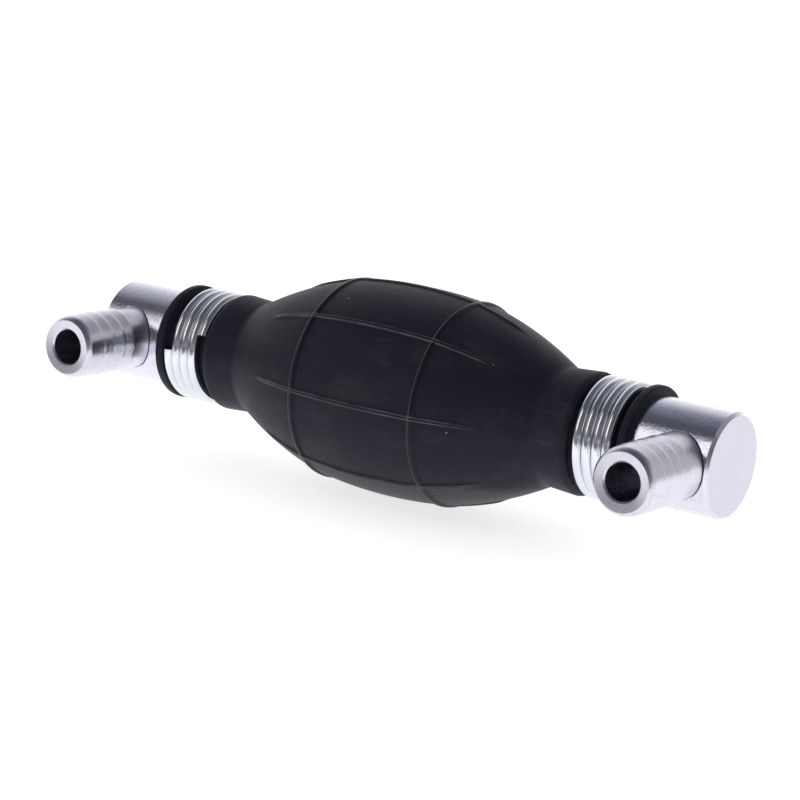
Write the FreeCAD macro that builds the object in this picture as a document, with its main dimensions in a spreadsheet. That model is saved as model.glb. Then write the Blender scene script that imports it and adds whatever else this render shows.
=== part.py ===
import FreeCAD, Part
import Sketcher
import math
import os
import types

# Siphon bulb pump: a squeezed rubber bulb with a turned metal elbow, a hose barb and a check valve
# in each end. X runs along the bulb in the direction of flow, both barbs point along -Y, Z is up,
# and the origin is the centre of the bulb. All lengths are in millimetres.

# name, value, what it is
DRIVING_SIZES = [
    ("band_half", 14.0, "bulb centre to each ring rib, where the barrel meets the shoulder"),
    ("band_radius", 19.75, "outer radius of the bulb at the ring ribs"),
    ("barrel_arc", 95.0, "radius of the barrel's lengthwise arc"),
    ("shoulder_end", 34.9, "bulb centre to the crease where the neck starts"),
    ("shoulder_radius", 11.4, "outer radius at the crease"),
    ("shoulder_arc", 74.0, "radius of the shoulder's lengthwise arc"),
    ("wall", 2.6, "rubber wall thickness"),
    ("neck_flare_radius", 11.85, "outer radius of the neck near the clamp"),
    ("neck_round", 1.2, "rounding of the neck's end beside the clamp"),
    ("clamp_seat_start", 42.7, "bulb centre to the clamped stretch of neck"),
    ("clamp_seat_end", 53.0, "bulb centre to the lip's inner side"),
    ("clamp_seat_radius", 9.85, "neck radius under the clamp, which squeezes the rubber"),
    ("lip_end", 54.9, "bulb centre to the lip's outer face"),
    ("lip_radius", 11.75, "outer radius of the lip"),
    ("lip_round", 0.5, "corner of the lip"),
    ("neck_bore", 8.4, "inner radius of the neck, and radius of the elbow's spigot"),
    ("neck_bore_start", 34.5, "bulb centre to the inner end of the neck bore"),
    ("rib_height", 0.4, "height of the lengthwise ribs"),
    ("rib_width", 1.0, "width of the lengthwise ribs"),
    ("ring_rib_height", 0.42, "height of the two ring ribs"),
    ("ring_rib_half", 0.9, "half width of the ring ribs"),
    ("rib_end", 28.0, "bulb centre to the ends of the lengthwise ribs, sunk in the wall"),
    ("rib_end_radius", 14.9, "distance of those ends from the axis"),
    ("rib_root", 1.0, "depth of the lengthwise ribs' roots in the wall"),
    ("window_long", 26.0, "half length of each squeezed wall area"),
    ("window_high", 13.0, "half height of each squeezed wall area"),
    ("window_gap", 0.3, "gap around a squeezed wall area"),
    ("window_reach", 30.0, "reach of the cut that makes a squeezed wall area"),
    ("spigot_start", 41.0, "bulb centre to the elbow's inner end"),
    ("spigot_chamfer", 0.6, "chamfer on the spigot's nose"),
    ("groove_depth", 0.5, "depth of the spigot's retaining grooves"),
    ("groove_width", 1.2, "width of the spigot's retaining grooves"),
    ("groove_first", 45.5, "bulb centre to the first retaining groove"),
    ("groove_pitch", 3.6, "distance between the retaining grooves"),
    ("body_radius", 10.0, "radius of the elbow's body"),
    ("body_end", 71.0, "bulb centre to the elbow's closed end"),
    ("body_chamfer", 0.6, "chamfer on the closed end"),
    ("valve_bore", 6.0, "radius of the bore that holds the check valve"),
    ("valve_bore_end", 55.5, "bulb centre to the valve bore's floor"),
    ("passage", 3.2, "radius of the drilled passages inside the elbow"),
    ("passage_end", 66.0, "bulb centre to the blind end of the lengthwise passage"),
    ("barb_axis", 64.0, "bulb centre to the barb's axis"),
    ("barb_seat", 5.0, "pump axis to the floor of the barb's socket"),
    ("seam_gap", 0.15, "open gap around the barb at the elbow's surface"),
    ("seam_floor", 7.2, "pump axis to the bottom of that gap"),
    ("cross_depth", 3.0, "reach of the cross passage past the pump axis"),
    ("barb_tube", 6.2, "outer radius of the barb's tube"),
    ("barb_land_end", 14.4, "pump axis to the first crest, which ends the barb's plain land"),
    ("barb_crest", 6.4, "radius of the barb's crests"),
    ("barb_pitch", 3.1, "distance between crests"),
    ("crest_flat", 0.5, "flat on each crest"),
    ("barb_end", 28.3, "pump axis to the rim of the barb's mouth"),
    ("barb_nose", 5.4, "radius of the mouth's rim"),
    ("nose_long", 1.5, "length of the rounded nose"),
    ("nose_arc", 2.0, "radius of the nose's rounding"),
    ("mouth_dish", 0.2, "depth of the dished mouth face"),
    ("port_bore", 3.5, "radius of the barb's bore"),
    ("port_chamfer", 0.3, "chamfer in the barb's mouth"),
    ("wire", 2.0, "diameter of the clamp wire"),
    ("clamp_radius", 10.7, "clamp axis to the wire's centre"),
    ("clamp_pitch", 2.07, "advance of the clamp's wire in one turn"),
    ("clamp_turns", 3.94, "turns of wire in a clamp"),
    ("clamp_start", 51.95, "bulb centre to the wire's end beside the lip"),
    ("seat_long", 2.5, "thickness of the valve seat"),
    ("seat_hole", 3.0, "radius of the hole in the valve seat"),
    ("seat_gap", 0.02, "gap between the closed valve and its seat"),
    ("seal_radius", 4.6, "outer radius of the poppet's head and its seal"),
    ("seal_thick", 0.8, "thickness of the seal"),
    ("head_thick", 1.2, "thickness of the poppet's head"),
    ("pin_radius", 1.2, "radius of the pin that carries the seal"),
    ("pin_long", 0.6, "reach of that pin past the seal"),
    ("stem_radius", 1.0, "radius of the poppet's stem"),
    ("stem_end", 14.0, "valve's inlet face to the end of the stem"),
    ("stem_clearance", 0.05, "running clearance of the stem in its guide"),
    ("cage_start", 10.0, "valve's inlet face to the guide cage"),
    ("cage_thick", 2.0, "thickness of the guide cage"),
    ("cage_hole", 1.2, "radius of the cage's flow holes"),
    ("cage_circle", 3.9, "valve axis to the flow holes' centres"),
    ("spring_wire", 0.4, "diameter of the valve spring's wire"),
    ("spring_radius", 2.0, "valve axis to the spring wire's centre"),
    ("spring_turns", 4.0, "turns of the valve spring"),
    ("spring_gap", 0.05, "gap at each end of the spring"),
]
LENGTHWISE_RIBS = 8
BARB_CRESTS = 4
SPIGOT_GROOVES = 2
CAGE_HOLES = 4


class Size:
    """A length together with the spreadsheet expression it comes from."""

    def __init__(self, value, text):
        self.value = float(value)
        self.text = text

    def joined(self, sign, other, value):
        right = other.text if isinstance(other, Size) else "{:g}".format(other)
        return Size(value, "({} {} {})".format(self.text, sign, right))

    def __add__(self, other):
        return self.joined("+", other, self.value + plain(other))

    def __sub__(self, other):
        return self.joined("-", other, self.value - plain(other))

    def __mul__(self, other):
        return self.joined("*", other, self.value * plain(other))

    def __truediv__(self, other):
        return self.joined("/", other, self.value / plain(other))

    def __neg__(self):
        return Size(-self.value, "(0 - {})".format(self.text))


def plain(number):
    return number.value if isinstance(number, Size) else float(number)


def make_sheet(doc):
    """The spreadsheet of driving sizes, and the same sizes by name."""
    sheet = doc.addObject("Spreadsheet::Sheet", "dims")
    sizes = types.SimpleNamespace()
    for row, (name, value, meaning) in enumerate(DRIVING_SIZES, 1):
        sheet.set("A{}".format(row), meaning)
        sheet.set("B{}".format(row), str(value))
        sheet.setAlias("B{}".format(row), name)
        setattr(sizes, name, Size(value, "dims." + name))
    doc.recompute()
    return sizes


DOC = FreeCAD.newDocument("siphon_bulb_pump")
D = make_sheet(DOC)
ZERO = Size(0.0, "0")
OUTLET_END = FreeCAD.Placement()
INLET_END = FreeCAD.Placement(FreeCAD.Vector(), FreeCAD.Rotation(FreeCAD.Vector(0, 1, 0), 180))
ENDS = {"inlet": INLET_END, "outlet": OUTLET_END}
# the inlet clamp's wire ends are in front, the outlet clamp's are behind
CLAMP_TURN = {"inlet": 0, "outlet": 180}
# X of the built piece points along -Y, for what is turned about the barb's axis
TOWARDS_BARB = FreeCAD.Rotation(FreeCAD.Vector(0, 0, 1), -90)


def bind(owner, prop, size):
    """Sets a property and ties it to the spreadsheet."""
    setattr(owner, prop, size.value)
    owner.setExpression(prop, size.text)


def new_body(label):
    body = DOC.addObject("PartDesign::Body", label)
    body.Label = label
    return body


def new_sketch(body, name, role):
    sketch = body.newObject("Sketcher::SketchObject", name)
    plane = next(f for f in body.Origin.OriginFeatures if f.Role == role)
    sketch.AttachmentSupport = (plane, [""])
    sketch.MapMode = "FlatFace"
    return sketch


def fix(sketch, kind, geometry, point, size, name):
    """One driving coordinate of a sketch point, tied to the spreadsheet."""
    index = sketch.addConstraint(Sketcher.Constraint(kind, geometry, point, size.value))
    sketch.renameConstraint(index, name)
    sketch.setExpression("Constraints." + name, size.text)


def arc_between(start, end, radius):
    """The short arc from start to end that bulges away from the sketch's X axis."""
    middle = (start + end) * 0.5
    chord = end - start
    rise = math.sqrt(radius ** 2 - (chord.Length / 2) ** 2)
    inward = FreeCAD.Vector(chord.y, -chord.x, 0).normalize()
    if inward.y > 0:
        inward = inward * -1
    centre = middle + inward * rise
    first = math.atan2(start.y - centre.y, start.x - centre.x)
    last = math.atan2(end.y - centre.y, end.x - centre.x)
    circle = Part.Circle(centre, FreeCAD.Vector(0, 0, 1), radius)
    forward = last > first
    arc = Part.ArcOfCircle(circle, min(first, last), max(first, last))
    return arc, forward


def outline(body, name, role, corners, arcs=None):
    """A closed outline through the corners; arcs gives the radius of each side that is an arc."""
    arcs = arcs or {}
    sketch = new_sketch(body, name, role)
    points = [FreeCAD.Vector(x.value, y.value, 0) for x, y in corners]
    ends = []
    for index, start in enumerate(points):
        end = points[(index + 1) % len(points)]
        if index in arcs:
            arc, forward = arc_between(start, end, arcs[index].value)
            side = sketch.addGeometry(arc, False)
            ends.append((side, 1, 2) if forward else (side, 2, 1))
        else:
            side = sketch.addGeometry(Part.LineSegment(start, end), False)
            ends.append((side, 1, 2))
    for index, (side, start, _) in enumerate(ends):
        before, _, last = ends[index - 1]
        sketch.addConstraint(Sketcher.Constraint("Coincident", before, last, side, start))
        fix(sketch, "DistanceX", side, start, corners[index][0], "x{}".format(index))
        fix(sketch, "DistanceY", side, start, corners[index][1], "y{}".format(index))
        if index in arcs:
            radius = sketch.addConstraint(Sketcher.Constraint("Radius", side, arcs[index].value))
            sketch.renameConstraint(radius, "radius{}".format(index))
            sketch.setExpression("Constraints.radius{}".format(index), arcs[index].text)
    return sketch


def turned(label, corners, arcs=None):
    """A body turned about the X axis from an outline of (position along X, radius)."""
    body = new_body(label)
    sketch = outline(body, label + "_outline", "XY_Plane", corners, arcs)
    turn = body.newObject("PartDesign::Revolution", label + "_turned")
    turn.Profile = sketch
    turn.ReferenceAxis = (sketch, ["H_Axis"])
    turn.Angle = 360
    return body


def round_hole(body, name, role, x, y, radius):
    """A sketch of one circle."""
    sketch = new_sketch(body, name, role)
    circle = Part.Circle(FreeCAD.Vector(x.value, y.value, 0), FreeCAD.Vector(0, 0, 1), radius.value)
    sketch.addGeometry(circle, False)
    fix(sketch, "DistanceX", 0, 3, x, "x")
    fix(sketch, "DistanceY", 0, 3, y, "y")
    index = sketch.addConstraint(Sketcher.Constraint("Radius", 0, radius.value))
    sketch.renameConstraint(index, "radius")
    sketch.setExpression("Constraints.radius", radius.text)
    return sketch


def coil(label, start, radius, wire, pitch, turns):
    """A body of round wire wound about the X axis, from start towards +X."""
    body = new_body(label)
    sketch = round_hole(body, label + "_wire", "XY_Plane", start, radius, wire / 2)
    helix = body.newObject("PartDesign::AdditiveHelix", label + "_helix")
    helix.Profile = sketch
    helix.ReferenceAxis = (sketch, ["H_Axis"])
    helix.Mode = "pitch-turns-angle"
    bind(helix, "Pitch", pitch)
    bind(helix, "Turns", turns)
    return body


# The bulb and its two squeezed walls


def half_of_outside():
    """Corners of the bulb's outside from the ring rib to the lip, and the arcs between them."""
    lip_in = D.clamp_seat_end
    rib_drop = D.ring_rib_half * 0.3
    corners = [
        (D.band_half, D.band_radius + D.ring_rib_height),
        (D.band_half + D.ring_rib_half, D.band_radius - rib_drop),
        (D.shoulder_end, D.shoulder_radius),
        (D.clamp_seat_start - D.neck_round, D.neck_flare_radius),
        (D.clamp_seat_start, D.neck_flare_radius - D.neck_round),
        (D.clamp_seat_start, D.clamp_seat_radius),
        (lip_in, D.clamp_seat_radius),
        (lip_in, D.lip_radius - D.lip_round),
        (lip_in + D.lip_round, D.lip_radius),
        (D.lip_end - D.lip_round, D.lip_radius),
        (D.lip_end, D.lip_radius - D.lip_round),
        (D.lip_end, D.neck_bore),
    ]
    return corners


def bulb_form():
    """The whole moulded bulb in one piece, with its ribs."""
    outside = half_of_outside()
    rib_foot = (D.band_half - D.ring_rib_half, D.band_radius)
    inside = [
        (D.neck_bore_start, D.neck_bore),
        (D.band_half, D.band_radius - D.wall),
    ]
    right = [rib_foot] + outside + inside
    left = [(-x, radius) for x, radius in reversed(right)]
    last = len(right) - 1
    arcs = {
        2: D.shoulder_arc,
        4: D.neck_round,
        last - 1: D.shoulder_arc - D.wall,
        last: D.barrel_arc - D.wall,
        last + 1: D.shoulder_arc - D.wall,
        len(right) + len(left) - 6: D.neck_round,
        len(right) + len(left) - 4: D.shoulder_arc,
        len(right) + len(left) - 1: D.barrel_arc,
    }
    body = turned("bulb_form", right + left, arcs)
    add_lengthwise_ribs(body)
    return body


def add_lengthwise_ribs(body):
    lift = D.rib_height
    tip = (D.rib_end, D.rib_end_radius)
    crown = (D.band_half, D.band_radius + lift)
    root = (D.band_half, D.band_radius - D.rib_root)
    right = [crown, tip, root]
    left = [(-x, radius) for x, radius in reversed(right)]
    arcs = {0: D.shoulder_arc, 4: D.shoulder_arc, 5: D.barrel_arc}
    sketch = outline(body, "rib_outline", "XY_Plane", right + left, arcs)
    rib = body.newObject("PartDesign::Pad", "rib")
    rib.Profile = sketch
    rib.Midplane = True
    bind(rib, "Length", D.rib_width)
    DOC.recompute()
    ribs = body.newObject("PartDesign::PolarPattern", "ribs")
    ribs.Originals = [rib]
    ribs.Axis = (sketch, ["H_Axis"])
    ribs.Angle = 360
    ribs.Occurrences = LENGTHWISE_RIBS
    body.Tip = ribs


def window_tool(name, side, extra):
    """An elliptical prism from the pump's axis out through one wall; side is -1 for the front."""
    rim = DOC.addObject("Part::Ellipse", name + "_rim")
    bind(rim, "MajorRadius", D.window_long + extra)
    bind(rim, "MinorRadius", D.window_high + extra)
    rim.Placement.Rotation = FreeCAD.Rotation(FreeCAD.Vector(1, 0, 0), 90)
    prism = DOC.addObject("Part::Extrusion", name)
    prism.Base = rim
    prism.DirMode = "Custom"
    prism.Dir = FreeCAD.Vector(0, side, 0)
    prism.Solid = True
    bind(prism, "LengthFwd", D.window_reach)
    return prism


def add_bulb():
    form = bulb_form()
    windows = DOC.addObject("Part::MultiFuse", "windows")
    windows.Shapes = [window_tool(n + "_window", s, D.window_gap) for n, s in (("front", -1), ("back", 1))]
    bulb = DOC.addObject("Part::Cut", "bulb")
    bulb.Label = "bulb"
    bulb.Base = form
    bulb.Tool = windows
    pieces = [bulb]
    for name, side in (("front", -1), ("back", 1)):
        wall = DOC.addObject("Part::Common", name + "_wall")
        wall.Label = name + "_wall"
        wall.Base = form
        wall.Tool = window_tool(name + "_plug", side, ZERO)
        pieces.append(wall)
    return pieces


# One elbow, barb and clamp for each end


def add_elbow(label, placement):
    """The turned elbow body: spigot, blind valve bore, lengthwise passage and the barb's socket."""
    corners = [
        (D.spigot_start, D.valve_bore),
        (D.spigot_start, D.neck_bore - D.spigot_chamfer),
        (D.spigot_start + D.spigot_chamfer, D.neck_bore),
    ]
    for index in range(SPIGOT_GROOVES):
        start = D.groove_first + D.groove_pitch * index
        end = start + D.groove_width
        floor = D.neck_bore - D.groove_depth
        corners += [(start, D.neck_bore), (start, floor), (end, floor), (end, D.neck_bore)]
    corners += [
        (D.lip_end, D.neck_bore),
        (D.lip_end, D.body_radius),
        (D.body_end - D.body_chamfer, D.body_radius),
        (D.body_end, D.body_radius - D.body_chamfer),
        (D.body_end, ZERO),
        (D.passage_end, ZERO),
        (D.passage_end, D.passage),
        (D.valve_bore_end, D.passage),
        (D.valve_bore_end, D.valve_bore),
    ]
    body = turned(label, corners)
    seam = D.barb_axis + D.barb_tube + D.seam_gap
    socket = [
        (D.barb_axis, -D.body_radius - D.body_chamfer),
        (seam, -D.body_radius - D.body_chamfer),
        (seam, -D.seam_floor),
        (D.barb_axis + D.barb_tube, -D.seam_floor),
        (D.barb_axis + D.barb_tube, -D.barb_seat),
        (D.barb_axis + D.passage, -D.barb_seat),
        (D.barb_axis + D.passage, D.cross_depth),
        (D.barb_axis, D.cross_depth + D.passage / 2),
    ]
    sketch = outline(body, label + "_socket_outline", "XY_Plane", socket)
    axis = Part.LineSegment(
        FreeCAD.Vector(D.barb_axis.value, -D.body_radius.value, 0), FreeCAD.Vector(D.barb_axis.value, 0, 0)
    )
    line = sketch.addGeometry(axis, True)
    sketch.addConstraint(Sketcher.Constraint("Vertical", line))
    fix(sketch, "DistanceX", line, 1, D.barb_axis, "axis")
    cut = body.newObject("PartDesign::Groove", label + "_socket")
    cut.Profile = sketch
    cut.ReferenceAxis = (sketch, ["Axis0"])
    cut.Angle = 360
    body.Placement = placement
    return body


def add_barb(label, placement):
    """The hose barb tube, turned about its own axis and pressed into the elbow's socket."""
    corners = [(D.barb_seat, D.port_bore), (D.barb_seat, D.barb_tube)]
    for index in range(BARB_CRESTS):
        step = D.barb_land_end + D.barb_pitch * index
        corners += [(step, D.barb_tube), (step, D.barb_crest), (step + D.crest_flat, D.barb_crest)]
        if index < BARB_CRESTS - 1:
            corners.append((step + D.barb_pitch - D.crest_flat, D.barb_tube))
    nose = len(corners)
    dish = D.barb_end - D.mouth_dish
    corners += [
        (D.barb_end - D.nose_long, D.barb_tube),
        (D.barb_end, D.barb_nose),
        (dish, D.port_bore + D.port_chamfer),
        (dish - D.port_chamfer, D.port_bore),
    ]
    body = turned(label, corners, {nose: D.nose_arc})
    at_axis = FreeCAD.Placement(FreeCAD.Vector(D.barb_axis.value, 0, 0), TOWARDS_BARB)
    body.Placement = placement.multiply(at_axis)
    return body


def add_clamp(label, placement, turn):
    """The wire clamp: a close coil that starts beside the lip and winds in towards the bulb.

    turn, in degrees, brings the ends of its wire from the front towards the back."""
    last = D.clamp_start - D.clamp_pitch * D.clamp_turns
    body = coil(label, last, D.clamp_radius, D.wire, D.clamp_pitch, D.clamp_turns)
    spare = 360 * (D.clamp_turns.value % 1)
    to_its_start = FreeCAD.Rotation(FreeCAD.Vector(1, 0, 0), 180 - spare + turn)
    body.Placement = placement.multiply(FreeCAD.Placement(FreeCAD.Vector(), to_its_start))
    return body


# One check valve for each end, drawn from its inlet face towards +X


def add_seat(label):
    hole = D.seat_hole
    corners = [
        (ZERO, hole + D.port_chamfer),
        (ZERO, D.valve_bore),
        (D.seat_long, D.valve_bore),
        (D.seat_long, hole),
        (D.port_chamfer, hole),
    ]
    return turned(label, corners)


def add_seal(label):
    face = D.seat_long + D.seat_gap
    corners = [
        (face, D.pin_radius),
        (face, D.seal_radius),
        (face + D.seal_thick, D.seal_radius),
        (face + D.seal_thick, D.pin_radius),
    ]
    return turned(label, corners)


def add_poppet(label):
    face = D.seat_long + D.seat_gap
    head = face + D.seal_thick
    corners = [
        (face - D.pin_long, ZERO),
        (face - D.pin_long, D.pin_radius),
        (head, D.pin_radius),
        (head, D.seal_radius),
        (head + D.head_thick, D.seal_radius),
        (head + D.head_thick, D.stem_radius),
        (D.stem_end, D.stem_radius),
        (D.stem_end, ZERO),
    ]
    return turned(label, corners)


def add_spring(label):
    head = D.seat_long + D.seat_gap + D.seal_thick + D.head_thick
    end_room = D.spring_gap + D.spring_wire / 2
    start = head + end_room
    pitch = (D.cage_start - end_room - start) / D.spring_turns
    return coil(label, start, D.spring_radius, D.spring_wire, pitch, D.spring_turns)


def add_cage(label):
    guide = D.stem_radius + D.stem_clearance
    end = D.cage_start + D.cage_thick
    corners = [(D.cage_start, guide), (D.cage_start, D.valve_bore), (end, D.valve_bore), (end, guide)]
    body = turned(label, corners)
    sketch = round_hole(body, label + "_flow_outline", "YZ_Plane", ZERO, D.cage_circle, D.cage_hole)
    hole = body.newObject("PartDesign::Pocket", label + "_flow_hole")
    hole.Profile = sketch
    hole.Type = "ThroughAll"
    hole.Reversed = True
    DOC.recompute()
    holes = body.newObject("PartDesign::PolarPattern", label + "_flow_holes")
    holes.Originals = [hole]
    holes.Axis = (sketch, ["N_Axis"])
    holes.Angle = 360
    holes.Occurrences = CAGE_HOLES
    body.Tip = holes
    return body


def add_valve(end):
    """The valve's pieces, placed so that both valves open along +X."""
    if end == "inlet":
        inlet_face = -D.valve_bore_end
    else:
        inlet_face = D.valve_bore_end - D.cage_start - D.cage_thick
    makers = {"seat": add_seat, "seal": add_seal, "poppet": add_poppet, "spring": add_spring, "cage": add_cage}
    pieces = []
    for kind, make in makers.items():
        body = make("{}_{}".format(end, kind))
        body.Placement.Base.x = inlet_face.value
        body.setExpression("Placement.Base.x", inlet_face.text)
        pieces.append(body)
    return pieces


def check(pieces):
    """Stops if any object of the document failed or any piece has no sound shape."""
    for item in DOC.Objects:
        if {"Invalid", "Error"} & set(item.State):
            raise RuntimeError("{} is in error: {}".format(item.Name, item.State))
    for piece in pieces:
        shape = piece.Shape
        if shape.isNull() or not shape.isValid() or not shape.Solids:
            raise RuntimeError("{} has no sound solid".format(piece.Label))


def main():
    pieces = add_bulb()
    for end, placement in ENDS.items():
        pieces.append(add_elbow(end + "_elbow", placement))
        pieces.append(add_barb(end + "_barb", placement))
        pieces.append(add_clamp(end + "_clamp", placement, CLAMP_TURN[end]))
        pieces += add_valve(end)
    DOC.recompute()
    check(pieces)
    os.makedirs("parts", exist_ok=True)
    for piece in pieces:
        piece.Shape.exportStep("parts/{}.step".format(piece.Label))
        print("{:16s} {:10.1f} mm3".format(piece.Label, piece.Shape.Volume))


main()
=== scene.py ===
import math

import bpy
import numpy as np
from mathutils import Matrix, Vector


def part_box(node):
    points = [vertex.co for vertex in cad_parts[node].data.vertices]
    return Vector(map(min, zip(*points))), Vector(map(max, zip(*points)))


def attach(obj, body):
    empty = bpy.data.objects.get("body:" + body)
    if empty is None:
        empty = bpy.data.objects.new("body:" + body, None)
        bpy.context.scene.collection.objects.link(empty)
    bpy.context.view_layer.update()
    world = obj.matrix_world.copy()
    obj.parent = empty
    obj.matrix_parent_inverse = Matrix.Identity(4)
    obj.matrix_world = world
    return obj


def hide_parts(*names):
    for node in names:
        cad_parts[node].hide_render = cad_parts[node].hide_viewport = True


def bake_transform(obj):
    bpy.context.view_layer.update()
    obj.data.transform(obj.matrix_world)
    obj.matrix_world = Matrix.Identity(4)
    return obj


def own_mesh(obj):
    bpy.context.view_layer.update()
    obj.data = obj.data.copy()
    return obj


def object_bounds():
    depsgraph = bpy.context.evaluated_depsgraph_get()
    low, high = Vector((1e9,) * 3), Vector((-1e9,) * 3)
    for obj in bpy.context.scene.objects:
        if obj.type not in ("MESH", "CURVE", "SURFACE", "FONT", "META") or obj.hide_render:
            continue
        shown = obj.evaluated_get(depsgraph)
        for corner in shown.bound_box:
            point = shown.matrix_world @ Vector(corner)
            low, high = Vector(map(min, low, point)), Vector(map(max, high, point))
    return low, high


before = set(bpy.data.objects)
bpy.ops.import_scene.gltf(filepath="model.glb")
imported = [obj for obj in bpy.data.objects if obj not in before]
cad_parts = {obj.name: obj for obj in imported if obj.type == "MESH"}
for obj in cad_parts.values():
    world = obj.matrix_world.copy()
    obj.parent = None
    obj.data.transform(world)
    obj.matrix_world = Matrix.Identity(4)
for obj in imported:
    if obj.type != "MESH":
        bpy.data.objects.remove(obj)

CAD_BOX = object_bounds()
MM = 0.001

# ---------------------------------------------------------------- sizes of the rubber bulb, in mm
BARREL_ARC = 95.0
SHOULDER_ARC = 74.0
RING_X = 14.0
RING_R = 19.75
CREASE_X = 34.9
CREASE_R = 11.4
CREASE_FILLET = 1.2
CREASE_SWELL = 0.12
FLARE_R = 11.85
NECK_ROUND = 1.2
SEAT_START = 42.7
NECK_END = SEAT_START - NECK_ROUND
SEAT_R = 9.85
SEAT_END = 53.0
LIP_END = 54.9
LIP_R = 11.75
LIP_ROUND = 0.55
NECK_BORE = 8.4
RIBS = 8
RIB_HEIGHT = 0.4
RIB_FLAT = 0.30
RIB_FOOT = 0.55
RIB_FADE = (22.5, 26.0)
RING_HEIGHT = 0.42
RING_FLAT = 0.35
RING_FOOT = 0.80
# rounding of the ribs' edges, width of the paler line along them, which is a painted highlight, and how
# pale it is on the rings
EDGE_ROUND = 0.03
EDGE_WIDTH = 0.13
RING_EDGE_HIGHLIGHT = 0.6

# ---------------------------------------------------------------- sizes of the valve springs, in mm
SPRING_WIRE = 0.4
SPRING_RADIUS = 2.0
SPRING_TURNS = 4

# ---------------------------------------------------------------- wear and tool marks
# the belly's paler patch, partly dust and partly a painted reflection of the floor, begins over this height
# in metres, and between these degrees from straight down
BELLY_DUST_AND_REFLECTION_BELOW = (-0.0115, -0.0140)
BELLY_DUST_AND_REFLECTION_ANGLES = (44.5, 42.5)
# spacing of the tool marks on a faced end, as the wave texture's scale
FACING_MARKS = 1250.0

# ---------------------------------------------------------------- the studio
SKY_PEAK = 1.4
FLOOR_GLOW = 0.74
# in reflections the floor darkens between these Y, in metres
TABLE_EDGE = (-0.08, -0.17)
FLOOR_REACH = 12.0
# the softbox's direction and the half widths over which it fades out, in degrees
SOFTBOX_SIDE = -34
SOFTBOX_RISE = 30
SOFTBOX_WIDE = (13, 19)
SOFTBOX_HIGH = (15, 20)
SOFTBOX_GLOW = 1.25

# ---------------------------------------------------------------- the camera, in degrees and mm
CAMERA_ANGLES = (33.549, 12.258, 5.284)
CAMERA_TARGET = (3.584, -8.125, 0)
CAMERA_DISTANCE = 476.5
CAMERA_LENS = 111.73

# ---------------------------------------------------------------- small node helpers


def new_material(name):
    material = bpy.data.materials.new(name)
    material.use_nodes = True
    tree = material.node_tree
    return material, tree, tree.nodes["Principled BSDF"]


def node(tree, kind, inputs=None, **settings):
    made = tree.nodes.new(kind)
    for key, value in settings.items():
        setattr(made, key, value)
    for key, value in (inputs or {}).items():
        if isinstance(value, bpy.types.NodeSocket):
            tree.links.new(value, made.inputs[key])
        else:
            made.inputs[key].default_value = value
    return made


def place(tree, stretch=(1, 1, 1)):
    """The piece's own coordinates in metres, stretched."""
    coords = node(tree, "ShaderNodeTexCoord")
    mapping = node(tree, "ShaderNodeMapping", {"Vector": coords.outputs["Object"], "Scale": stretch})
    return mapping.outputs["Vector"]


def noise(tree, vector, scale, detail=3.0, rough=0.5):
    inputs = {"Vector": vector, "Scale": scale, "Detail": detail, "Roughness": rough}
    return node(tree, "ShaderNodeTexNoise", inputs).outputs["Fac"]


def split(tree, vector):
    """The X, Y and Z of a vector."""
    return node(tree, "ShaderNodeSeparateXYZ", {"Vector": vector}).outputs


def ramp(tree, value, stops):
    """A colour ramp; stops are (position, grey or colour)."""
    made = node(tree, "ShaderNodeValToRGB", {"Fac": value})
    elements = made.color_ramp.elements
    while len(elements) < len(stops):
        elements.new(0.5)
    for element, (position, colour) in zip(elements, stops):
        element.position = position
        if not isinstance(colour, tuple):
            colour = (colour,) * 3
        element.color = (*colour, 1)
    return made.outputs["Color"]


def math_node(tree, operation, a, b=0.0):
    return node(tree, "ShaderNodeMath", {0: a, 1: b}, operation=operation).outputs[0]


def mix(tree, factor, a, b, blend_type="MIX"):
    """Colour a where the factor is 0 and b where it is 1."""
    made = node(tree, "ShaderNodeMix", {"Factor": factor}, data_type="RGBA", blend_type=blend_type)
    for key, value in (("A", a), ("B", b)):
        socket = next(s for s in made.inputs if s.name == key and s.type == "RGBA")
        if isinstance(value, bpy.types.NodeSocket):
            tree.links.new(value, socket)
        else:
            socket.default_value = (*value, 1)
    return next(s for s in made.outputs if s.type == "RGBA")


def bump(tree, height, distance, strength=1.0, normal=None):
    inputs = {"Height": height, "Distance": distance, "Strength": strength}
    if normal is not None:
        inputs["Normal"] = normal
    return node(tree, "ShaderNodeBump", inputs).outputs["Normal"]


def fade(tree, value, start, end, low=0.0, high=1.0):
    """Goes smoothly from low to high as value goes from start to end."""
    inputs = {"Value": value, "From Min": start, "From Max": end, "To Min": low, "To Max": high}
    made = node(tree, "ShaderNodeMapRange", inputs, interpolation_type="SMOOTHSTEP")
    return made.outputs["Result"]


def shade(colour, share):
    """A darker version of a colour."""
    return tuple(c * share for c in colour)


def connect(tree, shader, **links):
    """Links or sets the shader's inputs, named with underscores for spaces."""
    for key, value in links.items():
        name = key.replace("_", " ")
        if isinstance(value, bpy.types.NodeSocket):
            tree.links.new(value, shader.inputs[name])
        else:
            shader.inputs[name].default_value = value


# ---------------------------------------------------------------- materials


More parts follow.
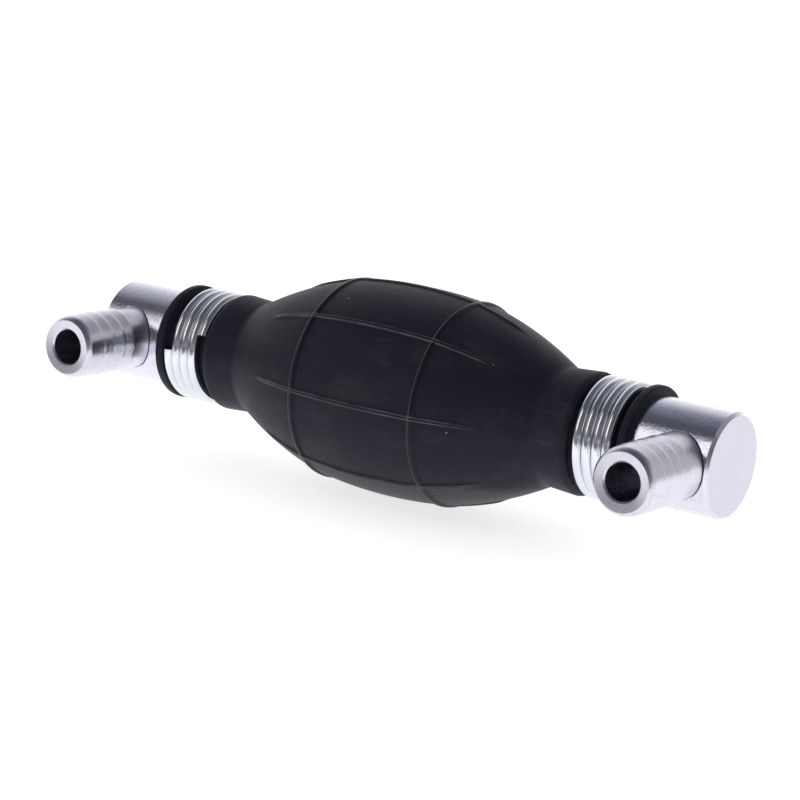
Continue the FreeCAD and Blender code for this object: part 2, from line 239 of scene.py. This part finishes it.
def rubber_material():
    """Matte black moulded rubber with a bluish bloom, painted highlights along the rib edges, a belly made
    paler by dust and by a painted reflection of the floor, scuffs, dust and a faint grain.
    """
    material, tree, shader = new_material("moulded_rubber")
    here = place(tree)
    cloud = noise(tree, here, 45, 4, 0.6)
    colour = ramp(tree, cloud, [(0.35, (0.0066, 0.0072, 0.0150)), (0.65, (0.0092, 0.0099, 0.0190))])
    smear = noise(tree, place(tree, (70, 160, 160)), 1.0, 6, 0.65)
    colour = mix(tree, ramp(tree, smear, [(0.50, 0.0), (0.70, 0.55)]), colour, (0.027, 0.028, 0.035))
    # a paler, grainy belly: partly dust, partly a painted reflection of the floor beneath
    colour = mix(tree, belly_dust_and_reflection(tree, here), colour, (0.050, 0.051, 0.059))
    tops = node(tree, "ShaderNodeAttribute", attribute_name="rib_top").outputs["Fac"]
    colour = mix(tree, math_node(tree, "MULTIPLY", tops, 0.8), colour, (0.003, 0.003, 0.006))
    # paler lines along the rib edges: a painted highlight, patchy along its length
    edges = node(tree, "ShaderNodeAttribute", attribute_name="rib_edge_highlight").outputs["Fac"]
    patchy = ramp(tree, noise(tree, here, 130, 5, 0.7), [(0.35, 0.15), (0.62, 1.0)])
    colour = mix(tree, math_node(tree, "MULTIPLY", edges, patchy), colour, (0.120, 0.122, 0.138))
    scratches = noise(tree, place(tree, (90, 1000, 1000)), 1.0, 3)
    scratches = ramp(tree, scratches, [(0.66, 0.0), (0.71, 1.0)])
    scuffed = ramp(tree, noise(tree, here, 75, 3), [(0.58, 0.0), (0.70, 0.7)])
    colour = mix(tree, math_node(tree, "MULTIPLY", scratches, scuffed), colour, (0.050, 0.051, 0.060))
    colour = mix(tree, dust(tree, here, 430.0, 0.965, 0.036), colour, (0.55, 0.55, 0.56))
    colour = mix(tree, dust(tree, here, 900.0, 0.90, 0.10), colour, (0.028, 0.028, 0.033))
    roughness = mix(tree, tops, ramp(tree, cloud, [(0.3, 0.54), (0.7, 0.66)]), (0.40, 0.40, 0.40))
    normal = bump(tree, noise(tree, here, 260, 3), 0.00005)
    normal = bump(tree, noise(tree, here, 4200, 3, 0.6), 0.00002, 0.7, normal)
    connect(tree, shader, Base_Color=colour, Roughness=roughness, Normal=normal, Specular_IOR_Level=0.29)
    connect(tree, shader, Specular_Tint=(0.86, 0.89, 1.0, 1.0))
    connect(tree, shader, Sheen_Weight=0.10, Sheen_Roughness=0.35, Sheen_Tint=(0.88, 0.90, 1.0, 1.0))
    return material


def belly_dust_and_reflection(tree, here):
    """Share of the pale grainy patch on the belly below its lowest front and back ribs; it is partly dust
    and partly a painted reflection of the floor below.
    """
    _, y, z = split(tree, here)
    away = math_node(tree, "ABSOLUTE", y)
    from_bottom = math_node(tree, "ARCTAN2", away, math_node(tree, "MULTIPLY", z, -1.0))
    start, full = (math.radians(angle) for angle in BELLY_DUST_AND_REFLECTION_ANGLES)
    under = fade(tree, from_bottom, start, full)
    under = math_node(tree, "MULTIPLY", under, fade(tree, z, *BELLY_DUST_AND_REFLECTION_BELOW))
    grain = ramp(tree, noise(tree, here, 1500, 4, 0.7), [(0.35, 0.5), (0.60, 1.0)])
    return math_node(tree, "MULTIPLY", under, grain)


def dust(tree, here, scale, rarity, size):
    """Small round specks; rarity is the share of cells left clean, and size a speck's share of its cell."""
    cells = node(tree, "ShaderNodeTexVoronoi", {"Vector": here, "Scale": scale, "Randomness": 1.0})
    dot = ramp(tree, cells.outputs["Distance"], [(size, 1.0), (size * 1.7, 0.0)])
    chance = node(tree, "ShaderNodeSeparateColor", {"Color": cells.outputs["Color"]}).outputs["Red"]
    return math_node(tree, "MULTIPLY", dot, math_node(tree, "GREATER_THAN", chance, rarity))


def turned_metal(name, along, middle, colour, rough, ring_depth, speckle_depth, end_face_shade):
    """Lathe turned aluminium; along is the axis of the lathe, so its fine rings run round that axis,
    which lies at the distance middle from the pump's middle. Faces square to the axis are machined flat by
    facing, with rings of tool marks and no speckle, and their colour is a darker copy of the rest as
    painted shade, set by the last argument as how bright they are beside the rest."""
    material, tree, shader = new_material(name)
    stretch = [30.0, 30.0, 30.0]
    stretch[along] = 7000.0
    rings = noise(tree, place(tree, tuple(stretch)), 1.0, 4, 0.65)
    here = place(tree)
    cloud = noise(tree, here, 160, 5, 0.6)
    base = mix(tree, ramp(tree, cloud, [(0.35, 0.0), (0.75, 1.0)]), colour, shade(colour, 0.94))
    scratches = noise(tree, place(tree, (700, 700, 120)), 1.0, 5, 0.7)
    base = mix(tree, ramp(tree, scratches, [(0.64, 0.0), (0.76, 0.45)]), base, shade(colour, 0.55))
    base = mix(tree, ramp(tree, rings, [(0.38, 0.25), (0.55, 0.0)]), base, shade(colour, 0.75))
    speckle = noise(tree, here, 1900, 3, 0.65)
    base = mix(tree, ramp(tree, speckle, [(0.28, 0.40), (0.42, 0.0)]), base, shade(colour, 0.70))
    handled = noise(tree, here, 420, 5, 0.7)
    base = mix(tree, ramp(tree, handled, [(0.56, 0.0), (0.70, 0.5)]), base, shade(colour, 0.66))
    facing = split(tree, node(tree, "ShaderNodeTexCoord").outputs["Normal"])[along]
    end_face = fade(tree, math_node(tree, "ABSOLUTE", facing), 0.90, 0.99)
    x, y, z = split(tree, here)
    off_axis = math_node(tree, "SUBTRACT", math_node(tree, "ABSOLUTE", x), middle)
    lathe = node(tree, "ShaderNodeCombineXYZ", {"X": off_axis, "Y": y, "Z": z}).outputs["Vector"]
    waves = {"Vector": lathe, "Scale": FACING_MARKS, "Distortion": 1.5, "Detail": 2.0}
    marks = node(tree, "ShaderNodeTexWave", waves, wave_type="RINGS", rings_direction="XY"[along])
    # the end faces get a darker copy of the metal's colour: painted shade
    end_shade_colour = ramp(tree, cloud, [(0.3, shade(colour, end_face_shade)), (0.7, shade(colour, end_face_shade * 0.97))])
    base = mix(tree, end_face, base, end_shade_colour)
    roughness = ramp(tree, cloud, [(0.3, rough), (0.75, rough + 0.08)])
    normal = bump(tree, rings, ring_depth)
    normal = bump(tree, mix(tree, end_face, speckle, (0.5, 0.5, 0.5)), speckle_depth, 1.0, normal)
    marks = math_node(tree, "MULTIPLY", marks.outputs["Fac"], end_face)
    normal = bump(tree, marks, ring_depth / 3, 1.0, normal)
    connect(tree, shader, Base_Color=base, Metallic=1.0, Roughness=roughness, Normal=normal)
    return material


def wire_material():
    """Bright zinc plating on drawn wire."""
    material, tree, shader = new_material("zinc_plated_wire")
    here = place(tree)
    cloud = noise(tree, here, 220, 4)
    colour = ramp(tree, cloud, [(0.3, (0.78, 0.80, 0.85)), (0.7, (0.86, 0.88, 0.93))])
    roughness = ramp(tree, cloud, [(0.3, 0.10), (0.75, 0.18)])
    normal = bump(tree, noise(tree, here, 3400, 3, 0.6), 0.00001)
    connect(tree, shader, Base_Color=colour, Metallic=1.0, Roughness=roughness, Normal=normal)
    return material


def plain_material(name, colour, rough, metallic=0.0):
    """The valve pieces' moulded plastic, soft rubber or spring wire, with a fine grain."""
    material, tree, shader = new_material(name)
    here = place(tree)
    cloud = noise(tree, here, 300, 4)
    base = mix(tree, ramp(tree, cloud, [(0.3, 0.0), (0.7, 1.0)]), colour, shade(colour, 0.8))
    roughness = ramp(tree, cloud, [(0.3, rough), (0.7, rough + 0.12)])
    grain = bump(tree, noise(tree, here, 4000, 2), 0.00001)
    connect(tree, shader, Base_Color=base, Metallic=metallic, Roughness=roughness, Normal=grain)
    return material


def floor_material():
    """A pale sweep; in reflections it ends a little in front of the pump, as a table's edge does."""
    material, tree, shader = new_material("pale_floor")
    here = place(tree)
    colour = ramp(tree, noise(tree, here, 3.0, 4), [(0.3, 0.54), (0.7, 0.56)])
    beyond = fade(tree, split(tree, here)["Y"], *TABLE_EDGE)
    mirrored = node(tree, "ShaderNodeLightPath").outputs["Is Glossy Ray"]
    dark = math_node(tree, "MULTIPLY", mirrored, beyond)
    glow = mix(tree, dark, (1, 1, 1), (0.05, 0.05, 0.06))
    colour = mix(tree, dark, colour, (0.12, 0.12, 0.13))
    connect(tree, shader, Base_Color=colour, Roughness=0.8, Specular_IOR_Level=0.1)
    connect(tree, shader, Emission_Color=glow, Emission_Strength=FLOOR_GLOW)
    return material


# ---------------------------------------------------------------- the rubber bulb


def arc_radius(x, x0, r0, x1, r1, curve):
    """Radius at x on the arc from (x0, r0) to (x1, r1) that bulges outwards."""
    chord = math.hypot(x1 - x0, r1 - r0)
    rise = math.sqrt(curve**2 - chord**2 / 4)
    inward = np.array([(r1 - r0), -(x1 - x0)]) / chord
    centre = np.array([(x0 + x1) / 2, (r0 + r1) / 2]) + inward * rise
    return centre[1] + math.sqrt(curve**2 - (x - centre[0]) ** 2)


def smooth(t):
    t = min(max(t, 0.0), 1.0)
    return t * t * (3 - 2 * t)


def skin_radius(x):
    """Outer radius of the bulb without its ribs, from the middle to the clamp seat, in mm."""
    x = abs(x)
    if x <= RING_X:
        return arc_radius(x, -RING_X, RING_R, RING_X, RING_R, BARREL_ARC)
    arc_x = min(x, CREASE_X + 2)
    shoulder = arc_radius(arc_x, RING_X, RING_R, CREASE_X, CREASE_R, SHOULDER_ARC)
    if x < CREASE_X - CREASE_FILLET:
        return shoulder
    # a short fillet across the crease
    t = smooth((x - (CREASE_X - CREASE_FILLET)) / (2 * CREASE_FILLET))
    straight = CREASE_R + (FLARE_R - CREASE_R) * max(x - CREASE_X, 0) / (NECK_END - CREASE_X)
    return shoulder * (1 - t) + straight * t + CREASE_SWELL * math.sin(math.pi * t)


def ridge(distance, flat, foot):
    """Share of a rib's height at a distance from its middle: a flat top with straight flanks."""
    return min(max((foot - distance) / (foot - flat), 0.0), 1.0)


def rib_ends(x):
    """Share of a lengthwise rib that is left at x, where it fades out towards the shoulders."""
    start, end = RIB_FADE
    return 1 - smooth((abs(x) - start) / (end - start))


def rib_lift(x, around):
    """Height of the moulded ribs at x, at a distance around from the nearest lengthwise rib, in mm."""
    lengthwise = RIB_HEIGHT * rib_ends(x) * ridge(around, RIB_FLAT, RIB_FOOT)
    ring = RING_HEIGHT * ridge(abs(abs(x) - RING_X), RING_FLAT, RING_FOOT)
    return max(lengthwise, ring)


def rib_edge_highlight(x, around):
    """How near a point is to the top edge of a rib, from 0 to 1; a painted highlight makes the moulding
    paler there. The ring ribs get this painted highlight only on the side towards the inlet."""
    lengthwise = rib_ends(x) * (1 - smooth(abs(around - RIB_FLAT) / EDGE_WIDTH))
    inlet_side = math.copysign(RING_X, x) - RING_FLAT
    ring = RING_EDGE_HIGHLIGHT * (1 - smooth(abs(x - inlet_side) / EDGE_WIDTH))
    return max(lengthwise, ring)


def rib_top(x, around):
    """Share of its full height that the rib has at a point; the ribs' tops are darker and smoother."""
    ring = ridge(abs(abs(x) - RING_X), RING_FLAT, RING_FOOT)
    return max(ridge(around, RIB_FLAT, RIB_FOOT), ring)


def across_rib(flat, foot):
    """Distances from a rib's middle at which the mesh has points, with a small rounding at each edge."""
    edges = [flat - EDGE_ROUND, flat + EDGE_ROUND, foot - EDGE_ROUND, foot + EDGE_ROUND]
    return [0.0, flat / 2] + edges + [foot + 5 * EDGE_ROUND]


def stations():
    """Positions along the bulb from its middle to the clamp seat, closer together on ribs and edges."""
    off_ring = across_rib(RING_FLAT, RING_FOOT)
    ring = [RING_X - d for d in reversed(off_ring)] + [RING_X + d for d in off_ring[1:]]
    spans = [
        (ring[-1], CREASE_X - 1.5, 26),
        (CREASE_X - 1.5, CREASE_X + 1.5, 10),
        (CREASE_X + 1.5, NECK_END - 0.2, 6),
    ]
    found = list(np.linspace(0.0, ring[0], 19)) + ring[1:]
    for start, end, count in spans:
        found += list(np.linspace(start, end, count + 1)[1:])
    return found


def arc_points(x, r, radius, start, end, count):
    """Points round a small fillet in the (x, radius) plane; angles in degrees."""
    angles = np.radians(np.linspace(start, end, count))
    return [(x + radius * math.cos(a), r + radius * math.sin(a)) for a in angles]


def outside_profile():
    """(x, radius, ribbed) from the middle of the bulb out to the lip's inner rim, in mm."""
    points = [(x, skin_radius(x), True) for x in stations()]
    shoulder = arc_points(NECK_END, FLARE_R - NECK_ROUND, NECK_ROUND, 86, 0, 9)
    lip_in = arc_points(SEAT_END + LIP_ROUND, LIP_R - LIP_ROUND, LIP_ROUND, 180, 90, 6)
    lip_out = arc_points(LIP_END - LIP_ROUND, LIP_R - LIP_ROUND, LIP_ROUND, 90, 0, 8)
    points += [(x, r, False) for x, r in shoulder]
    points += [(SEAT_START, SEAT_R, False), (SEAT_END, SEAT_R, False)]
    points += [(x, r, False) for x, r in lip_in + lip_out]
    points += [(LIP_END, r, False) for r in (10.6, 10.0, 9.2, NECK_BORE)]
    return points


def columns():
    """Angles of the columns of one sector of the bulb, from one rib's middle to the next."""
    sector = 2 * math.pi / RIBS
    near = [d / RING_R for d in across_rib(RIB_FLAT, RIB_FOOT)]
    between = list(np.linspace(near[-1], sector - near[-1], 15))[1:-1]
    return near + between + [sector - a for a in reversed(near)][:-1]


def bulb_grid():
    """The whole outside as arrays [row along X][column around]: its points in metres, and the shares of
    rib edge and rib top there."""
    right = outside_profile()
    rows = [(-x, r, ribbed) for x, r, ribbed in reversed(right)] + right[1:]
    sector = 2 * math.pi / RIBS
    angles = [sector * k + a for k in range(RIBS) for a in columns()]
    grid = np.zeros((len(rows), len(angles), 3))
    edges = np.zeros((len(rows), len(angles)))
    tops = np.zeros((len(rows), len(angles)))
    for i, (x, radius, ribbed) in enumerate(rows):
        for j, angle in enumerate(angles):
            offset = min(angle % sector, sector - angle % sector)
            lift = rib_lift(x, offset * RING_R) if ribbed else 0.0
            edges[i, j] = rib_edge_highlight(x, offset * RING_R) if ribbed else 0.0
            tops[i, j] = rib_top(x, offset * RING_R) * min(lift / RIB_HEIGHT, 1.0)
            full = (radius + lift) * MM
            # the first column is on top, and the front half comes first
            grid[i, j] = (x * MM, -full * math.sin(angle), full * math.cos(angle))
    return grid, {"rib_edge_highlight": edges, "rib_top": tops}


def grid_normals(grid):
    """Normals of the whole outside, without a seam where its last column meets the first."""
    along = np.gradient(grid, axis=0)
    around = np.roll(grid, -1, axis=1) - np.roll(grid, 1, axis=1)
    normals = np.cross(along, around)
    return normals / np.linalg.norm(normals, axis=2, keepdims=True)


def half_bulb(name, grid, shares, normals, columns_used):
    """One half of the bulb's outside as a mesh, with the whole bulb's normals along its edges."""
    rows, count = len(grid), len(columns_used)
    vertices = grid[:, columns_used].reshape(-1, 3)
    faces = []
    for i in range(rows - 1):
        for j in range(count - 1):
            a = i * count + j
            faces.append((a, a + 1, a + 1 + count, a + count))
    mesh = bpy.data.meshes.new(name)
    mesh.from_pydata(vertices.tolist(), [], faces)
    mesh.update()
    if mesh.polygons[0].normal.dot(Vector(normals[0, columns_used[0]])) < 0:
        mesh.flip_normals()
    mesh.polygons.foreach_set("use_smooth", [True] * len(mesh.polygons))
    mesh.normals_split_custom_set_from_vertices(normals[:, columns_used].reshape(-1, 3).tolist())
    for attribute, values in shares.items():
        layer = mesh.attributes.new(attribute, "FLOAT", "POINT")
        layer.data.foreach_set("value", values[:, columns_used].ravel())
    piece = bpy.data.objects.new(name, mesh)
    bpy.context.scene.collection.objects.link(piece)
    return piece


def add_bulb(rubber):
    grid, shares = bulb_grid()
    normals = grid_normals(grid)
    total = grid.shape[1]
    half = total // 2
    sides = {
        "front": (list(range(0, half + 1)), -1, "front_wall"),
        "back": (list(range(half, total)) + [0], 1, "back_wall"),
    }
    for name, (used, side, wall) in sides.items():
        piece = half_bulb("bulb_{}_half".format(name), grid, shares, normals, used)
        piece.data.materials.append(rubber)
        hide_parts("bulb", wall)
        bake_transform(piece)


# ---------------------------------------------------------------- the valve springs


def coil_mesh(name, first, last):
    """A coil of round wire on the pump's axis; its wire's middle goes from X first to last, in metres."""
    thick = SPRING_WIRE / 2 * MM
    count, sides = SPRING_TURNS * 36, 10
    ahead = np.array([1, 0, 0])
    points = []
    for i in range(count + 1):
        angle = 2 * math.pi * SPRING_TURNS * i / count
        out = np.array([0, math.cos(angle), math.sin(angle)])
        centre = ahead * (first + (last - first) * i / count) + out * SPRING_RADIUS * MM
        for j in range(sides):
            turn = 2 * math.pi * j / sides
            points.append(centre + thick * (math.cos(turn) * out + math.sin(turn) * ahead))
    faces = []
    for i in range(count):
        for j in range(sides):
            a, b = i * sides + j, i * sides + (j + 1) % sides
            faces.append((a, b, b + sides, a + sides))
    faces += [tuple(range(sides)), tuple(reversed(range(count * sides, (count + 1) * sides)))]
    mesh = bpy.data.meshes.new(name)
    mesh.from_pydata([tuple(point) for point in points], [], faces)
    mesh.polygons.foreach_set("use_smooth", [True] * len(mesh.polygons))
    return mesh


def add_spring(end, steel):
    """A coil of round wire in place of the valve's spring part, spanning that part's length and carried
    with the pump.
    """
    low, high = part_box(end + "_spring")
    thick = SPRING_WIRE / 2 * MM
    mesh = coil_mesh(end + "_coil_spring", low[0] + thick, high[0] - thick)
    mesh.materials.append(steel)
    spring = bpy.data.objects.new(end + "_coil_spring", mesh)
    bpy.context.scene.collection.objects.link(spring)
    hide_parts(end + "_spring")
    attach(spring, "pump")
    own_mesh(spring)


# ---------------------------------------------------------------- stage, light and camera


def add_floor():
    low = CAD_BOX[0][2]
    mesh = bpy.data.meshes.new("floor")
    quarters = ((-1, -1), (1, -1), (1, 1), (-1, 1))
    corners = [(x * FLOOR_REACH, y * FLOOR_REACH, low) for x, y in quarters]
    mesh.from_pydata(corners, [], [(0, 1, 2, 3)])
    floor = bpy.data.objects.new("floor", mesh)
    floor.data.materials.append(floor_material())
    bpy.context.scene.collection.objects.link(floor)


def sky_ramp(tree, height, stops):
    """Brightness by height in degrees above the horizon, as a share of SKY_PEAK."""
    return ramp(tree, height, [(degrees / 90, value / SKY_PEAK) for degrees, value in stops])


def near_angle(tree, angle, middle, widths):
    """1 while an angle is near its middle, 0 beyond; the middle and its two half widths are in degrees."""
    off = math_node(tree, "ABSOLUTE", math_node(tree, "SUBTRACT", angle, math.radians(middle)))
    inner, outer = (math.radians(width) for width in widths)
    return fade(tree, off, inner, outer, 1.0, 0.0)


def add_world():
    """A white sweep behind, a dim room in front and overhead, and one softbox at the front left."""
    world = bpy.data.worlds.new("studio")
    world.use_nodes = True
    tree = world.node_tree
    x, y, z = split(tree, node(tree, "ShaderNodeTexCoord").outputs["Generated"])
    rise = math_node(tree, "ARCSINE", z)
    height = math_node(tree, "DIVIDE", rise, math.pi / 2)
    side = math_node(tree, "ARCTAN2", x, math_node(tree, "MULTIPLY", y, -1.0))
    behind = math_node(tree, "ABSOLUTE", side)
    low_left = [(0, 1.4), (12, 1.3), (20, 1.08), (38, 0.74)]
    high_left = [(48, 0.44), (57, 0.25), (70, 0.14), (90, 0.10)]
    back_left = sky_ramp(tree, height, low_left + high_left)
    back_right = sky_ramp(tree, height, [(0, 0.55), (30, 0.55), (40, 0.35), (55, 0.2), (90, 0.10)])
    front = sky_ramp(tree, height, [(0, 0.30), (12, 0.16), (50, 0.10), (90, 0.10)])
    back = mix(tree, fade(tree, x, -0.1, 0.4), back_left, back_right)
    sky = mix(tree, fade(tree, behind, math.radians(72), math.radians(108)), front, back)
    wide = near_angle(tree, side, SOFTBOX_SIDE, SOFTBOX_WIDE)
    high = near_angle(tree, rise, SOFTBOX_RISE, SOFTBOX_HIGH)
    softbox = math_node(tree, "MULTIPLY", wide, high)
    dim = fade(tree, height, 0.35, 0.7)
    sky = mix(tree, dim, sky, mix(tree, 1.0, sky, (0.88, 0.92, 1.12), "MULTIPLY"))
    sky = mix(tree, softbox, sky, (SOFTBOX_GLOW / SKY_PEAK,) * 3)
    path = node(tree, "ShaderNodeLightPath")
    seen = mix(tree, path.outputs["Is Camera Ray"], sky, (1.0 / SKY_PEAK,) * 3)
    tree.links.new(seen, tree.nodes["Background"].inputs["Color"])
    tree.nodes["Background"].inputs["Strength"].default_value = SKY_PEAK
    bpy.context.scene.world = world


def add_overhead_light():
    """Wide soft light from above that shapes matte surfaces and the shadow, without its own highlight."""
    data = bpy.data.lights.new("overhead", "SUN")
    data.energy = 1.3
    data.angle = math.radians(110)
    lamp = bpy.data.objects.new("overhead", data)
    lamp.rotation_euler = (math.radians(-12), math.radians(-14), 0)
    lamp.visible_glossy = False
    bpy.context.scene.collection.objects.link(lamp)


def add_camera():
    """A long lens in front of the outlet end, a little above the pump and rolled by a few degrees."""
    azimuth, elevation, roll = (math.radians(angle) for angle in CAMERA_ANGLES)
    flat = math.cos(elevation)
    back = Vector((math.sin(azimuth) * flat, -math.cos(azimuth) * flat, math.sin(elevation)))
    level = Vector((math.cos(azimuth), math.sin(azimuth), 0))
    upright = back.cross(level)
    right = level * math.cos(roll) + upright * math.sin(roll)
    up = upright * math.cos(roll) - level * math.sin(roll)
    place_at = (Vector(CAMERA_TARGET) + back * CAMERA_DISTANCE) * MM
    data = bpy.data.cameras.new("camera")
    data.sensor_width = 36
    data.lens = CAMERA_LENS
    data.clip_start = 0.01
    camera = bpy.data.objects.new("camera", data)
    axes = Matrix((right, up, back)).transposed().to_4x4()
    camera.matrix_world = Matrix.Translation(place_at) @ axes
    bpy.context.scene.collection.objects.link(camera)
    bpy.context.scene.camera = camera


# ---------------------------------------------------------------- putting it together


def dress(name, material):
    """Gives a CAD node its material."""
    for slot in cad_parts[name].material_slots:
        slot.material = material


barb_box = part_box("outlet_barb")
barb_x = (barb_box[0][0] + barb_box[1][0]) / 2
rubber = rubber_material()
body_metal = turned_metal(
    "turned_aluminium_body",
    along=0,
    middle=0.0,
    colour=(0.800, 0.790, 0.895),
    rough=0.12,
    ring_depth=0.000006,
    speckle_depth=0.000046,
    end_face_shade=0.80,
)
barb_metal = turned_metal(
    "turned_aluminium_barb",
    along=1,
    middle=barb_x,
    colour=(0.76, 0.75, 0.84),
    rough=0.22,
    ring_depth=0.000012,
    speckle_depth=0.000036,
    end_face_shade=0.96,
)
wire = wire_material()
plastic = plain_material("valve_plastic", (0.72, 0.71, 0.66), 0.4)
seal = plain_material("seal_rubber", (0.02, 0.02, 0.02), 0.6)
spring_steel = plain_material("spring_steel", (0.55, 0.55, 0.55), 0.25, 1.0)
for end in ("inlet", "outlet"):
    dress(end + "_elbow", body_metal)
    dress(end + "_barb", barb_metal)
    dress(end + "_clamp", wire)
    dress(end + "_seat", plastic)
    dress(end + "_poppet", plastic)
    dress(end + "_cage", plastic)
    dress(end + "_seal", seal)
    add_spring(end, spring_steel)
add_bulb(rubber)
add_floor()
add_world()
add_overhead_light()
add_camera()
bpy.context.scene.view_settings.view_transform = "Standard"
